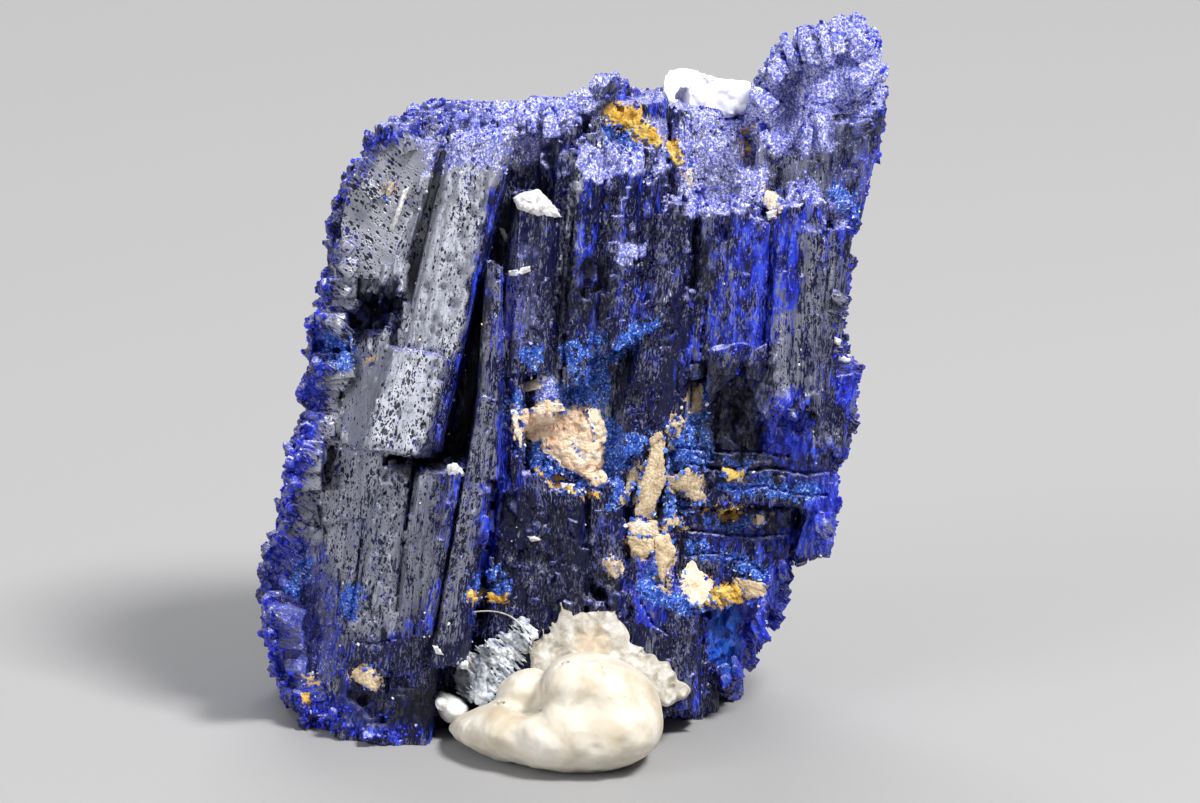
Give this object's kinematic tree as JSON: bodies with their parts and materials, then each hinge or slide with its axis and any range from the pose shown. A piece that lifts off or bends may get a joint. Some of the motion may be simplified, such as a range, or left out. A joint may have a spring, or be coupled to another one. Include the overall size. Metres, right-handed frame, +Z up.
{
  "type": "azurite specimen",
  "caption": "Standing slab of intergrown azurite blades with stepped tops, a tall corner spur and matrix patches, propped by a lump of white tack.",
  "frame": {"origin": "on the surface it stands on, under the middle of the whole object's bounding box", "axes": "+Z up; -Y towards the viewer, the side with the great block, the matrix pocket and the white putty; +X towards the tall spur"},
  "size_m": [0.0252, 0.0184, 0.0286],
  "materials": {
    "azurite": "satin",
    "mineral_tack": "matte"
  },
  "bodies": {
    "root": {"azurite_cluster": "azurite", "putty_support": "mineral_tack"}
  },
  "joints": []
}
